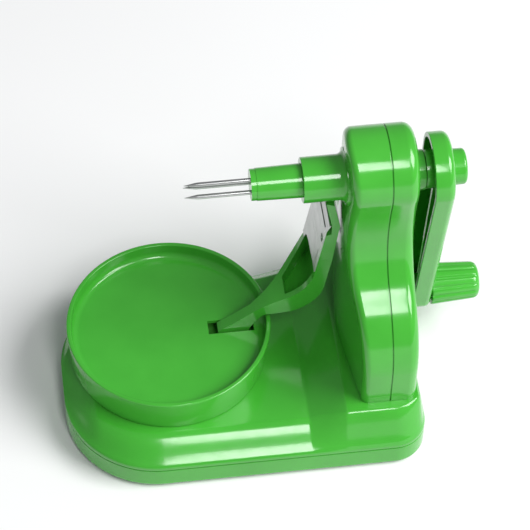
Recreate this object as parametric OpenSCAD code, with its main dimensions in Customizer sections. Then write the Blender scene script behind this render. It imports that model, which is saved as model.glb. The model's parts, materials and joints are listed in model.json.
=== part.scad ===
// Hand-cranked apple peeler with a tray that carries the blade arm round the fruit.
// X runs along the spindle towards the crank, Y away from the operator, Z up.
// Lengths are millimetres. Places are worked out from the tray's axis and the table,
// and place() then moves the whole to the middle of its own bounding box.

/* [Base] */
// Left end of the base, from the tray's axis
base_left = 53.2; // [52:0.2:56]
// Right end of the base, from the tray's axis
base_right = 119.5; // [119:0.5:124]
// Front edge of the base, from the tray's axis
base_front = 64.5; // [63:0.5:68]
// Back edge of the base behind the tray and behind the tower
base_back = [45.5, 54.5]; // [40:0.5:60]
// Height of the foot under the base
foot_h = 2; // [1.5:0.1:2.2]
// Height of the parting line above the table
seam_z = 14; // [13.8:0.1:14.2]
// Height of the deck under the tray
deck_z = 26; // [25.9:0.05:26.1]
// Height of the platform under the tower
platform_z = 34; // [33.5:0.25:34.5]
// Wall of the base mouldings
base_wall = 2.5; // [2:0.1:2.6]

/* [Tray] */
// Outer radius of the tray's rim
tray_r = 49.5; // [49:0.25:50.5]
// Height of the tray's rim
tray_rim_z = 46; // [45.5:0.25:46.5]
// Height of the tray's floor
tray_floor_z = 38.5; // [38.3:0.1:38.7]
// Wall of the tray
tray_wall = 2; // [1.8:0.1:2.2]

/* [Tower] */
// Middle of the tower's left face
tower_x0 = 81.8; // [81.6:0.1:82]
// Plane where the tower's halves meet
tower_split_x = 101.3; // [101:0.1:102]
// Right face of the tower
tower_x1 = 114.3; // [114:0.1:114.5]
// Radius of the tower's head
head_r = 20.2; // [19:0.1:21]
// Height of the centre of the head
head_z = 149; // [148:0.25:150]
// Half width of the neck
neck_w = 15.8; // [15.6:0.1:17]
// Half width of the lower lobe
lobe_w = 51; // [50:0.25:52]
// Wall of the tower shells
tower_wall = 2.5; // [2:0.1:2.5]

/* [Spindle and crank] */
// Height of the spindle's axis
spindle_z = 145; // [144.8:0.1:145.2]
// Radius of the spindle inside the collar
spindle_r = 8; // [7.8:0.1:8.1]
// Face of the spindle that the apple sits against
spindle_x0 = 41; // [40:0.5:44]
// Crank throw, axis to knob axis
crank_throw = 110.5; // [100:0.5:112]
// Angle of the resting crank from straight down
crank_rest = 8.5; // [0:0.5:12]
// Radius of the crank arm at the hub
crank_hub_r = 18.1; // [17:0.1:19]
// Radius of the crank arm at the knob
crank_end_r = 11.1; // [10:0.1:12]
// Inner and outer face of the crank arm
crank_x0 = 121.5; // [120:0.1:122]
crank_x1 = 131; // [129.5:0.1:132]
// End of the knob
knob_x1 = 155.7; // [153:0.1:158]
// Radius of the knob beside the arm and at its end
knob_r0 = 10.5; // [9.5:0.1:11]
knob_r1 = 9; // [8:0.1:9.5]
// Number of flutes on the knob
flutes = 14; // [8:1:18]

/* [Gears] */
// Module of the spur gears
gear_m = 1.5; // [1.5:0.1:1.5]
// Teeth of the spindle gear, the three idle gears and the gear on the base shaft
teeth = [16, 14, 22, 44, 10]; // [10:1:44]
// Near and far face of the spur gears
gear_x0 = 92; // [91.5:0.1:92.5]
gear_x1 = 100; // [99.5:0.1:100]
// Module of the worm wheel
worm_m = 1.25; // [1.2:0.01:1.3]
// Teeth of the worm wheel
wheel_teeth = 44; // [40:1:44]
// Height of the base shaft
shaft_z = 14.5; // [14.3:0.1:14.7]

/* [Arm] */
// Hinge pin of the arm
pin_x = 37; // [36.5:0.1:37.5]
pin_z = 31.5; // [31.3:0.1:31.7]
// Radius of the hinge pin
pin_r = 1.5; // [1.3:0.1:1.6]
// Front face of the arm
arm_y0 = -3; // [-3.2:0.1:-2.8]
// Full width of the arm's upper part
arm_w = 29.6; // [27:0.2:30]
// Height of the seam between arm and blade holder
seam_arm_z = 87.4; // [86:0.2:89]
// Thickness of the blade
blade_t = 0.8; // [0.6:0.1:1]

/* [Hidden] */
$fn = 64;

green = [0.27, 0.72, 0.20];
light_green = [0.45, 0.85, 0.35];
steel = [0.78, 0.79, 0.80];
nylon = [0.93, 0.92, 0.86];
dark = [0.10, 0.16, 0.12];

cover_floor = foot_h + base_wall;
x_mid = (knob_x1 - base_left) / 2;
y_mid = (base_back[1] - base_front) / 2;
gap = 0.05;            // radial clearance of every running fit

// ---- plane geometry -------------------------------------------------------------------

// Points of an arc about c from angle a0 to a1
function arc(c, r, a0, a1, n) =
    [for (i = [0:n]) c + r * [cos(a0 + (a1 - a0) * i / n), sin(a0 + (a1 - a0) * i / n)]];
function rev(v) = [for (i = [len(v) - 1:-1:0]) v[i]];
function tail(v) = [for (i = [1:len(v) - 1]) v[i]];
function mirror_x(v) = [for (p = rev(v)) [-p[0], p[1]]];
function smooth(t) = let (u = min(1, max(0, t))) u * u * (3 - 2 * u);

// Triangles that close ring k of n points, in strips from one side of the ring to the other
function ring_cap(k, n) = [for (i = [0:ceil(n / 2) - 2]) let (a = k * n + i, b = k * n + n - 1 - i)
    each b - a > 2 ? [[a, a + 1, b - 1], [a, b - 1, b]] : [[a, a + 1, b]]];

// One closed solid over equal rings of points, each anticlockwise as seen from the last ring
module skin(rings) {
    n = len(rings[0]);
    m = len(rings);
    polyhedron(
        points = [for (r = rings) each r],
        faces = concat(
            ring_cap(0, n),
            [for (k = [0:m - 2], i = [0:n - 1])
                let (j = (i + 1) % n, a = k * n, b = k * n + n)
                each [[a + j, a + i, b + i], [a + j, b + i, b + j]]],
            [for (f = ring_cap(m - 1, n)) rev(f)]),
        convexity = 6);
}

// A cylinder along +X that starts at x0
module rod_x(x0, x1, r, y = 0, z = 0, r2 = undef) {
    translate([x0, y, z]) rotate([0, 90, 0])
        cylinder(h = x1 - x0, r1 = r, r2 = is_undef(r2) ? r : r2);
}

// A cylinder along +Y that starts at y0
module rod_y(y0, y1, r, x, z) {
    translate([x, y0, z]) rotate([-90, 0, 0]) cylinder(h = y1 - y0, r = r);
}

module rod_z(z0, z1, r, x = 0, y = 0) {
    translate([x, y, z0]) cylinder(h = z1 - z0, r = r);
}

module block(x0, x1, y0, y1, z0, z1) {
    translate([x0, y0, z0]) cube([x1 - x0, y1 - y0, z1 - z0]);
}

// A plate drawn in the XZ plane that spans y0 to y1
module plate_y(points, y0, y1) {
    translate([0, y1, 0]) rotate([90, 0, 0]) linear_extrude(y1 - y0) polygon(points);
}

module place() {
    translate([-x_mid, -y_mid, 0]) children();
}

// ---- base -----------------------------------------------------------------------------

left_r = 45;           // rounding of the base's left corners
right_r = 16;          // rounding of the base's right corners
left_c = left_r - base_left;
right_c = base_right - right_r;

// Distance of the base's front and back edge from the tray's axis at x, drawn in by d
function corner_at(x, y, d) =
    x < left_c ? y - left_r + sqrt(max(0, pow(left_r - d, 2) - pow(x - left_c, 2)))
    : x > right_c ? y - right_r + sqrt(max(0, pow(right_r - d, 2) - pow(x - right_c, 2)))
    : y - d;
function front_at(x, d) = corner_at(x, base_front, d);
function back_at(x, d) =
    corner_at(x, base_back[0] + (base_back[1] - base_back[0]) * smooth((x - 40) / 52), d);
function base_outline(d) = concat(
    arc([left_c, left_r - base_front], left_r - d, 180, 270, 12),
    arc([right_c, right_r - base_front], right_r - d, 270, 360, 8),
    arc([right_c, base_back[1] - right_r], right_r - d, 0, 90, 8),
    [for (i = [0:8]) let (x = 92 - 52 * i / 8) [x, back_at(x, d)]],
    arc([left_c, base_back[0] - left_r], left_r - d, 90, 180, 12));

skirt_w = 15;          // width of the sloped skirt round the deck
front_skirt = 11;      // the same in front of the tower
back_skirt = 4;        // and behind it
lip_h = 2.5;           // upright lip above the parting line
ramp_x0 = 62.5;        // foot of the ramp up to the platform
ramp_x1 = 80;
steps_across = 7;

function on_ramp(x) = min(1, max(0, (x - ramp_x0) / (ramp_x1 - ramp_x0)));
function top_at(x) = deck_z + (platform_z - deck_z) * on_ramp(x);
// Share of the full height at distance e in from the edge
function rise(e) = smooth(0.12 + 0.88 * e / skirt_w);
function end_rise(x, d) = min(rise(x + base_left - d), rise((base_right - d - x) * 4));
function shell_z(x, t, d) =
    seam_z + lip_h + (top_at(x) - d - seam_z - lip_h) * rise(t * skirt_w) * end_rise(x, d);
// Points of one section from an edge at y across a skirt of width w
function skirt_side(x, y, w, d) = concat([[x, y, d > 0 ? seam_z - 1 : seam_z]],
    [for (i = [0:steps_across]) let (t = i / steps_across) [x, y + w * t, shell_z(x, t, d)]]);
// One section of the base shell across Y
function shell_section(x, d) =
    let (f = front_at(x, d), b = back_at(x, d), room = 0.35 * (f + b),
        wf = min(room, skirt_w + (front_skirt - skirt_w) * smooth(on_ramp(x))),
        wb = min(room, 11 + (back_skirt - 11) * smooth(on_ramp(x))))
    concat(skirt_side(x, b, -wb, d), rev(skirt_side(x, -f, wf, d)));
function shell_stations(d) = concat(
    [for (i = [0:9]) -base_left + d + (left_r - d) * (1 - cos(9 + 81 * i / 9))],
    [for (i = [1:6]) left_c + (ramp_x0 - left_c) * i / 6],
    [for (i = [1:4]) ramp_x0 + (ramp_x1 - ramp_x0) * i / 4],
    [92],
    [for (i = [0:6]) right_c + (right_r - d) * sin(76 * i / 6)]);

bore_r = 9 + gap;      // bearing for the tray's hub
collar_z = 20.5;
base_screw_at = [[-36, -34], [-30, 26], [108, -51], [104, 47]];
mount_at = [[89, -36], [89, 36], [109.5, -42], [109.5, 42]];
mount_r = 2.7;         // radius of the bosses that the tower stands on
tower_opening = [91.2, 102.3, -46, 30];
worm_y = -(worm_m * wheel_teeth / 2 + 5);
bush_x = [[-21, -15], [101.5, 107.5]];
bush_r = 5;

module base_shell() {
    color(green) difference() {
        union() {
            difference() {
                skin([for (x = shell_stations(0)) shell_section(x, 0)]);
                skin([for (x = shell_stations(base_wall)) shell_section(x, base_wall)]);
            }
            rod_z(collar_z, deck_z - 0.5, 13);
            for (p = base_screw_at) rod_z(seam_z, top_at(p[0]) - 1, 4, p[0], p[1]);
            for (b = bush_x)
                block(b[0], b[1], worm_y - 7, worm_y + 7, shaft_z, (b[0] < 0 ? deck_z : platform_z) - 1);
        }
        rod_z(collar_z - 1, deck_z + 1, bore_r);
        block(tower_opening[0], tower_opening[1], tower_opening[2], tower_opening[3],
            platform_z - 6, platform_z + 1);
        for (p = base_screw_at) rod_z(seam_z - 1, 20, 1.5, p[0], p[1]);
        for (p = mount_at) rod_z(platform_z - 8, platform_z + 1, 1.55, p[0], p[1]);
        for (b = bush_x) rod_x(b[0] - 1, b[1] + 1, bush_r, worm_y, shaft_z);
    }
}

foot_at = [[-24, -47], [-18, 30], [96, -52], [88, 44]];
foot_r = 7;

module base_cover() {
    color(green) difference() {
        union() {
            difference() {
                translate([0, 0, foot_h]) linear_extrude(seam_z - foot_h) polygon(base_outline(0));
                translate([0, 0, cover_floor]) linear_extrude(seam_z) polygon(base_outline(base_wall));
            }
            for (p = base_screw_at) rod_z(foot_h, seam_z, 4, p[0], p[1]);
            for (b = bush_x) block(b[0], b[1], worm_y - 7, worm_y + 7, foot_h + 1, shaft_z);
            rod_z(foot_h, 15.5, 4);
        }
        for (p = base_screw_at) {
            rod_z(foot_h - 1, seam_z + 1, 1.5, p[0], p[1]);
            rod_z(foot_h - 1, foot_h + 3, 3.2, p[0], p[1]);
        }
        for (p = foot_at) rod_z(foot_h - 1, foot_h + 1.5, foot_r + gap, p[0], p[1]);
        for (b = bush_x) rod_x(b[0] - 1, b[1] + 1, bush_r, worm_y, shaft_z);
    }
}

module feet() {
    color(dark) for (p = foot_at) translate([p[0], p[1], 0]) {
        cylinder(h = 0.8, r1 = foot_r - 0.8, r2 = foot_r);
        translate([0, 0, 0.8]) cylinder(h = foot_h + 0.7, r = foot_r);
    }
}

// A pan-head screw whose head sits below z0 = 0 and whose shank points up
module screw(head_r, head_h, shank_r, shank_l) {
    difference() {
        union() {
            translate([0, 0, -head_h]) cylinder(h = head_h, r1 = head_r - 0.4, r2 = head_r);
            cylinder(h = shank_l, r = shank_r);
        }
        for (a = [0, 90]) rotate(a) translate([-head_r * 0.55, -0.35, -head_h - 1])
            cube([head_r * 1.1, 0.7, 1 + head_h * 0.6]);
    }
}

module base_screws() {
    color(steel) for (p = base_screw_at) translate([p[0], p[1], foot_h + 3]) screw(3, 2, 1.4, 14);
}

module mount_screws() {
    color(steel) for (p = mount_at) translate([p[0], p[1], platform_z - base_wall]) screw(2.2, 2, 1.5, 11);
}

module shaft_bushes() {
    color(nylon) for (b = bush_x) difference() {
        rod_x(b[0], b[1], bush_r, worm_y, shaft_z);
        rod_x(b[0] - 1, b[1] + 1, 3 + gap, worm_y, shaft_z);
    }
}

// ---- tower ----------------------------------------------------------------------------

lobe_r = 40;
lobe_z = 55;
neck_r = 33;
lobe_c = [lobe_w - lobe_r, lobe_z];
neck_c = [neck_w + neck_r,
    lobe_z + sqrt(pow(neck_r + lobe_r, 2) - pow(neck_w + neck_r - lobe_w + lobe_r, 2))];
// The arc that leads from the neck to the head touches both
throat_r = (pow(neck_w, 2) + pow(head_z - neck_c[1], 2) - pow(head_r, 2)) / (2 * (head_r - neck_w));
throat_c = [neck_w + throat_r, neck_c[1]];
lobe_a = atan2(neck_c[1] - lobe_c[1], neck_c[0] - lobe_c[0]);
throat_a = atan2(head_z - throat_c[1], -throat_c[0]);

// Outline of the tower in the YZ plane, drawn in by d; bottom is the height it starts from
function tower_half(d, bottom) = concat(
    [[lobe_w - 0.5 - d, bottom]],
    arc(lobe_c, lobe_r - d, 0, lobe_a, 10),
    tail(arc(neck_c, neck_r + d, lobe_a + 180, 180, 8)),
    tail(arc(throat_c, throat_r + d, 180, throat_a, 4)),
    tail(arc([0, head_z], head_r - d, throat_a - 180, 90, 9)));
function tower_profile(d, bottom) =
    let (half = tower_half(d, bottom))
    concat(half, mirror_x([for (i = [0:len(half) - 2]) half[i]]));
function ring_at(x, v) = [for (p = v) [x, p[0], p[1]]];

right_edge_r = 5;      // rounding of the tower's right edges
left_edge_r = 3.3;     // and of its left edges
// How far the left face falls back from its middle at y
function crown(y) = 0.14 * (sqrt(y * y + 64) - 8);
function crowned_ring(off, d) =
    [for (p = tower_profile(d, platform_z)) [tower_x0 + off + crown(p[0]), p[0], p[1]]];
left_rings = [for (a = [0:22.5:90]) crowned_ring(left_edge_r * (1 - cos(a)), left_edge_r * (1 - sin(a)))];
right_rings = [for (a = [90:-22.5:0])
    ring_at(tower_x1 - right_edge_r * (1 - cos(a)), tower_profile(right_edge_r * (1 - sin(a)), platform_z))];

// The left half's outside: rings from the face to the parting plane, and rows of points across the
// crowned face
module crowned_skin(rings, across) {
    n = len(rings[0]);
    m = len(rings);
    top = (n - 1) / 2;
    base = n * m;
    face = [for (i = [0:top - 1], k = [1:across - 1])
        let (a = rings[0][i], y = a[1] + (rings[0][n - 1 - i][1] - a[1]) * k / across)
        [tower_x0 + crown(y), y, a[2]]];
    function at(i, k) = k == 0 ? i : k == across ? n - 1 - i : base + i * (across - 1) + k - 1;
    polyhedron(
        points = concat([for (r = rings) each r], face),
        faces = concat(
            [for (i = [0:top - 2], k = [0:across - 1])
                each [[at(i, k), at(i + 1, k), at(i + 1, k + 1)],
                    [at(i, k), at(i + 1, k + 1), at(i, k + 1)]]],
            [for (k = [0:across - 1]) [at(top - 1, k), top, at(top - 1, k + 1)]],
            [for (k = [1:across - 1]) [at(0, 0), at(0, k), at(0, k + 1)]],
            [for (k = [0:m - 2], i = [0:n - 1])
                let (j = (i + 1) % n, a = k * n, b = k * n + n)
                each [[a + j, a + i, b + i], [a + j, b + i, b + j]]],
            [for (f = ring_cap(m - 1, n)) rev(f)]),
        convexity = 6);
}

gear_r = [for (t = teeth) t * gear_m / 2];
spindle_c = [0, spindle_z];
shaft_c = [worm_y, shaft_z];
neck_gear_c = [0, spindle_z - gear_r[0] - gear_r[1]];
middle_gear_c = [0, neck_gear_c[1] - gear_r[1] - gear_r[2]];
// The large gear touches the middle gear and the gear on the base shaft
far = gear_r[2] + gear_r[3];
near = gear_r[3] + gear_r[4];
span = norm(shaft_c - middle_gear_c);
along = (far * far - near * near + span * span) / (2 * span);
towards = (shaft_c - middle_gear_c) / span;
large_gear_c = middle_gear_c + along * towards + sqrt(far * far - along * along) * [-towards[1], towards[0]];
axle_at = [neck_gear_c, middle_gear_c, large_gear_c];

boss_at = [[0, 161.7], [-34.5, 77], [34.5, 77], [42.5, 54]];
boss_seat = 2.2;        // depth of the recess for each screw's head
collar_r = 10.7;
collar_x0 = 62;

module tower_cavity(x0, x1) {
    translate([x0, 0, 0]) rotate([90, 0, 90]) linear_extrude(x1 - x0)
        polygon(tower_profile(tower_wall, platform_z - 1));
}

module tower_left_shell() {
    color(green) difference() {
        union() {
            difference() {
                crowned_skin(concat(left_rings, [ring_at(tower_split_x, tower_profile(0, platform_z))]), 10);
                intersection() {
                    tower_cavity(tower_x0, tower_split_x + 1);
                    translate([tower_wall, 0, 0]) linear_extrude(200) polygon(concat([[120, 60], [120, -60]],
                        [for (y = [-60:6:60]) [tower_x0 + crown(y), y]]));
                }
            }
            rod_x(collar_x0, tower_x0 + 1, collar_r, 0, spindle_z);
            translate([tower_x0 + 0.5, 0, spindle_z]) rotate([0, -90, 0]) rotate_extrude()
                polygon(concat([[0, -1.4], [collar_r + 3, -1.4]], arc([collar_r + 3, 3.5], 3, 270, 180, 6), [[0, 3.5]]));
            rod_x(tower_x0 + 1, 88, 11, 0, spindle_z);
            for (c = axle_at) rod_x(tower_x0 + 1, gear_x0 - 0.3, 4.5, c[0], c[1]);
            for (c = boss_at) rod_x(tower_x0 + crown(c[0]) + 1.3, tower_split_x, 2.9, c[0], c[1]);
            for (i = [0, 1]) rod_z(platform_z + 0.5, platform_z + 10, mount_r, mount_at[i][0], mount_at[i][1]);
        }
        rod_x(collar_x0 - 1, 89, spindle_r + gap, 0, spindle_z);
        for (c = axle_at) rod_x(86.8, gear_x0 + 1, 2, c[0], c[1]);
        for (c = boss_at) rod_x(88, tower_split_x + 1, 1.25, c[0], c[1]);
        for (i = [0, 1]) rod_z(platform_z - 1, platform_z + 8.6, 1.5, mount_at[i][0], mount_at[i][1]);
    }
}

module tower_right_shell() {
    color(green) difference() {
        union() {
            difference() {
                skin(concat([ring_at(tower_split_x, tower_profile(0, platform_z))], right_rings));
                tower_cavity(tower_split_x - 1, tower_x1 - tower_wall);
            }
            rod_x(104, 118.8, 9.5, 0, spindle_z);
            for (c = axle_at) rod_x(gear_x1 + 0.3, tower_x1 - 1, 4.5, c[0], c[1]);
            for (c = boss_at) rod_x(tower_split_x, tower_x1 - 1, 2.9, c[0], c[1]);
            for (i = [2, 3]) rod_z(platform_z + 0.5, platform_z + 10, mount_r, mount_at[i][0], mount_at[i][1]);
        }
        rod_x(103, 120, 5 + gap, 0, spindle_z);
        for (c = axle_at) rod_x(gear_x1 - 1, 109.8, 2, c[0], c[1]);
        for (c = boss_at) {
            rod_x(tower_split_x - 1, tower_x1 + 1, 1.3, c[0], c[1]);
            rod_x(tower_x1 - boss_seat, tower_x1 + 1, 2.3, c[0], c[1]);
        }
        for (i = [2, 3]) rod_z(platform_z - 1, platform_z + 8.6, 1.5, mount_at[i][0], mount_at[i][1]);
    }
}

module tower_screws() {
    color(steel) for (c = boss_at) translate([tower_x1 - boss_seat, c[0], c[1]]) rotate([0, -90, 0])
        screw(2.2, 1.8, 1.25, 17);
}

module gear_axles() {
    color(steel) for (c = axle_at) rod_x(86.8, 109.8, 2, c[0], c[1]);
}

// ---- gears ----------------------------------------------------------------------------

pressure = 25;         // pressure angle
backlash = 0.35;       // thinning of each tooth at the pitch line
function inv(a) = tan(a) * 180 / PI - a;
// One flank of an involute tooth, as polar points from root to tip, for z teeth
function flank(z, m) =
    let (rp = z * m / 2, rb = rp * cos(pressure), tip = rp + 0.85 * m, root = rp - 1.15 * m,
        half = 90 / z - backlash / 2 / rp * 180 / PI + inv(pressure), start = max(rb, root + 0.05))
    concat([[root, half - inv(acos(min(1, rb / start))) + (rb > root ? 2 : 0)]],
        [for (i = [0:5]) let (r = start + (tip - start) * i / 5) [r, half - inv(acos(min(1, rb / r)))]]);
function tooth(z, m, a) =
    let (f = flank(z, m))
    concat([for (p = f) p[0] * [cos(a - p[1]), sin(a - p[1])]],
        [for (p = rev(f)) p[0] * [cos(a + p[1]), sin(a + p[1])]]);
function gear_outline(z, m, phase) = [for (k = [0:z - 1]) each tooth(z, m, phase + 360 * k / z)];

// Angle of a tooth of the second gear that meshes with the first; delta points from first to second
function mesh_phase(phase, z1, z2, delta) = delta + 180 + 180 / z2 + (delta - phase) * z1 / z2;
function heading(a, b) = atan2(b[1] - a[1], b[0] - a[0]);

phase_0 = 0;
phase_1 = mesh_phase(phase_0, teeth[0], teeth[1], heading(spindle_c, neck_gear_c));
phase_2 = mesh_phase(phase_1, teeth[1], teeth[2], heading(neck_gear_c, middle_gear_c));
phase_3 = mesh_phase(phase_2, teeth[2], teeth[3], heading(middle_gear_c, large_gear_c));
phase_4 = mesh_phase(phase_3, teeth[3], teeth[4], heading(large_gear_c, shaft_c));

// A spur gear on an axis along X, with a bore and lightening holes
module spur(c, z, phase, bore, holes = 0) {
    r = z * gear_m / 2;
    translate([gear_x0, c[0], c[1]]) rotate([90, 0, 90]) difference() {
        linear_extrude(gear_x1 - gear_x0) polygon(gear_outline(z, gear_m, phase));
        translate([0, 0, -1]) cylinder(h = gear_x1 - gear_x0 + 2, r = bore);
        for (k = [0:1:holes - 1]) rotate(360 * k / holes) translate([r * 0.56, 0, -1])
            cylinder(h = gear_x1 - gear_x0 + 2, r = r * 0.2);
    }
}

module spindle_gear() { color(nylon) spur(spindle_c, teeth[0], phase_0, 5); }
module neck_gear() { color(nylon) spur(neck_gear_c, teeth[1], phase_1, 2 + gap); }
module middle_gear() { color(nylon) spur(middle_gear_c, teeth[2], phase_2, 2 + gap); }
module large_gear() { color(nylon) spur(large_gear_c, teeth[3], phase_3, 2 + gap, 6); }
module shaft_gear() { color(nylon) spur(shaft_c, teeth[4], phase_4, 3); }

module base_shaft() { color(steel) rod_x(-22, 108.5, 3, worm_y, shaft_z); }

worm_pitch = PI * worm_m;
worm_half = 12;
worm_core = 4.7;       // radius of the round that winds into the thread
worm_throw = 1.2;      // how far that round stands off the axis

worm_step = 24;        // angle between the worm's sections

// Single-start worm: an off-centre round, wound once for each pitch
function worm_ring(t) =
    [for (p = arc(worm_throw * [cos(-t), sin(-t)], worm_core, 0, 342, 19)) [worm_pitch * t / 360, p[0], p[1]]];
module worm() {
    wind = worm_step * floor(360 * worm_half / worm_pitch / worm_step);
    color(nylon) translate([0, worm_y, shaft_z]) difference() {
        skin([for (t = [-wind:worm_step:wind]) worm_ring(t)]);
        rod_x(-worm_half - 1, worm_half + 1, 3);
    }
}

wheel_z = [shaft_z - 2, shaft_z + 2];
wheel_r = worm_m * wheel_teeth / 2;
wheel_lead = 6.9;      // tilt of the teeth that follows the worm's thread

module worm_wheel() {
    color(nylon) difference() {
        union() {
            rod_z(wheel_z[0], wheel_z[1], wheel_r - 1.25);
            for (k = [0:wheel_teeth - 1]) rotate(-90 + 360 * (k + 0.5) / wheel_teeth)
                translate([wheel_r, 0, shaft_z]) rotate([wheel_lead, 0, 0]) translate([0, 0, -2])
                linear_extrude(4)
                polygon([[-1.6, -1.0], [0, -0.65], [1.1, -0.25], [1.1, 0.25], [0, 0.65], [-1.6, 1.0]]);
            rod_z(wheel_z[1], collar_z - 0.3, 12);
        }
        rod_z(wheel_z[0] - 1, 16, 4 + gap);
        for (a = wheel_screw_a) rotate(a) {
            rod_z(wheel_z[0] - 1, collar_z + 1, 1.3, 7, 0);
            rod_z(wheel_z[0] - 1, wheel_z[0] + 2, 2.6, 7, 0);
        }
        for (a = [0:60:300]) rotate(a) rod_z(wheel_z[0] - 1, wheel_z[1] + 1, 4, 19, 0);
    }
}

wheel_screw_a = [30, 150, 270];
module wheel_screws() {
    color(steel) for (a = wheel_screw_a) rotate(a) translate([7, 0, wheel_z[0] + 2]) screw(2.4, 1.6, 1.25, 13);
}

// ---- spindle and crank ----------------------------------------------------------------

module spindle_shaft() {
    color(green) difference() {
        union() {
            rod_x(spindle_x0, collar_x0, spindle_r - 0.4, 0, spindle_z, spindle_r);
            rod_x(collar_x0, 88.5, spindle_r, 0, spindle_z);
            rod_x(88.5, screw_x, 5, 0, spindle_z);
        }
        rod_x(spindle_x0 - 1, spindle_x0 + 6, 5, 0, spindle_z);
        rod_x(111, screw_x + 1, 1.75, 0, spindle_z);
    }
}

prong_r = 1.1;
prong_at = [for (a = [90, 210, 330]) 3.4 * [cos(a), sin(a)]];

module fork_hub() {
    color(green) difference() {
        union() {
            rod_x(spindle_x0, spindle_x0 + 6, 5, 0, spindle_z);
            rod_x(spindle_x0 - 2.5, spindle_x0, 7.4, 0, spindle_z);
        }
        for (p = prong_at) rod_x(spindle_x0 - 3, spindle_x0 + 4.5, prong_r, p[0], spindle_z + p[1]);
    }
}

module fork_prongs() {
    color(steel) for (p = prong_at) {
        rod_x(14, spindle_x0 + 4.5, prong_r, p[0], spindle_z + p[1]);
        rod_x(8, 14, 0.1, p[0], spindle_z + p[1], prong_r);
    }
}

hub_x0 = 119.1;        // inner end of the crank's hub
screw_x = 127;         // seat of the crank screw's head
knob_y = crank_throw * sin(crank_rest);
knob_z = spindle_z - crank_throw * cos(crank_rest);
// Outline of the crank arm in its own plane, end towards -Y, drawn in by d
hub_c = [0.8, -0.5];   // centre of the hub's rounding from the spindle's axis
function arm_outline(d) =
    let (a = asin((crank_hub_r - crank_end_r) / crank_throw))
    concat(arc(hub_c, crank_hub_r - d, a, 180 - a, 14),
        arc([0, -crank_throw], crank_end_r - d, 180 - a, 360 + a, 12));
function arm_ring(x, d) = [for (p = rev(arm_outline(d))) [x, -p[0], p[1]]];

module at_crank() {
    translate([0, 0, spindle_z]) rotate([crank_rest, 0, 0]) children();
}

module crank_arm() {
    color(green) at_crank() difference() {
        union() {
            difference() {
                skin([arm_ring(crank_x0, 0), arm_ring(crank_x1 - 3.6, 0), arm_ring(crank_x1 - 1.7, 0.5),
                    arm_ring(crank_x1 - 0.5, 1.7), arm_ring(crank_x1, 3.4)]);
                translate([crank_x0 - 1, 0, 0]) rotate([90, 0, 90]) linear_extrude(crank_x1 - crank_x0 - 1.6)
                    polygon(mirror_x(arm_outline(2.2)));
            }
            rod_x(hub_x0, crank_x1 - 1, 9);
            rod_x(crank_x0 + 1, crank_x1 - 1, 6, 0, -crank_throw);
            block(crank_x0 + 3, crank_x1 - 1, -1, 1, -crank_throw, 0);
        }
        rod_x(hub_x0 - 1, screw_x, 5);
        rod_x(screw_x - 1, crank_x1 + 1, 4.6);
        rod_x(crank_x0, crank_x1 + 1, 2.5, 0, -crank_throw);
    }
}

module crank_screw() {
    color(steel) translate([screw_x, 0, spindle_z]) rotate([0, -90, 0]) screw(4.2, 2.4, 1.75, 15);
}

module crank_cap() {
    color(green) difference() {
        union() {
            rod_x(crank_x1, 137, 8.5, 0, spindle_z, 8.4);
            rod_x(137, 138.2, 8.4, 0, spindle_z, 7.6);
        }
        rod_x(crank_x1 - 1, 136, 6.5, 0, spindle_z);
    }
}

module knob_pin() {
    color(steel) translate([0, knob_y, knob_z]) {
        rod_x(crank_x0 + 1, crank_x1, 2.5);
        rod_x(crank_x1, 149.5, 3);
        rod_x(149.5, 151.5, 4.6);
    }
}

knob_taper = atan((knob_r0 - knob_r1 - 0.3) / (152 - crank_x1));

module crank_knob() {
    color(green) translate([0, knob_y, knob_z]) difference() {
        union() {
            rod_x(crank_x1 + 0.4, 152, knob_r0, 0, 0, knob_r1 + 0.3);
            rod_x(152, 154.2, knob_r1 + 0.3, 0, 0, knob_r1 - 0.4);
            rod_x(154.2, knob_x1, knob_r1 - 0.4, 0, 0, knob_r1 - 2.4);
        }
        for (a = [0:flutes - 1]) rotate([360 * a / flutes, 0, 0]) translate([crank_x1 - 1, 0, knob_r0 + 0.45])
            rotate([0, knob_taper, 0]) rod_x(0, 23, 1);
        rod_x(crank_x1, 149, 3 + gap);
        rod_x(149, knob_x1 + 1, 5);
    }
}

module knob_cap() {
    color(green) translate([0, knob_y, knob_z]) rod_x(152.2, knob_x1 - 0.2, 5);
}

// ---- tray and arm hinge ---------------------------------------------------------------

slot = [19.3, 41.5, -4, 4];
tray_low = deck_z + 0.3;

module tray() {
    color(green) difference() {
        union() {
            rotate_extrude($fn = 128) polygon(concat(
                [[0, tray_floor_z - 2], [tray_r - 4.2, tray_floor_z - 2], [tray_r - 3.6, tray_low],
                    [tray_r - 1.6, tray_low]],
                arc([tray_r - 0.8, tray_rim_z - 0.8], 0.8, 0, 90, 3),
                arc([tray_r - tray_wall + 0.6, tray_rim_z - 0.6], 0.6, 90, 180, 3),
                arc([tray_r - tray_wall - 3.4, tray_floor_z + 3], 3, 0, -90, 5),
                [[0, tray_floor_z]]));
            rod_z(collar_z - 0.3, tray_floor_z - 1, 9);
        }
        block(slot[0], slot[1], slot[2], slot[3], tray_floor_z - 3, tray_floor_z + 1);
        for (a = wheel_screw_a) rotate(a) rod_z(collar_z - 1, 28, 1.25, 7, 0);
        for (y = bracket_screw_y) rod_z(tray_floor_z - 3, tray_floor_z - 0.8, 1.1, 14, y);
    }
}

bracket_y = [-7, 12.7];
bracket_screw_y = [-3, 9];
bracket_low = 26.6;

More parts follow.
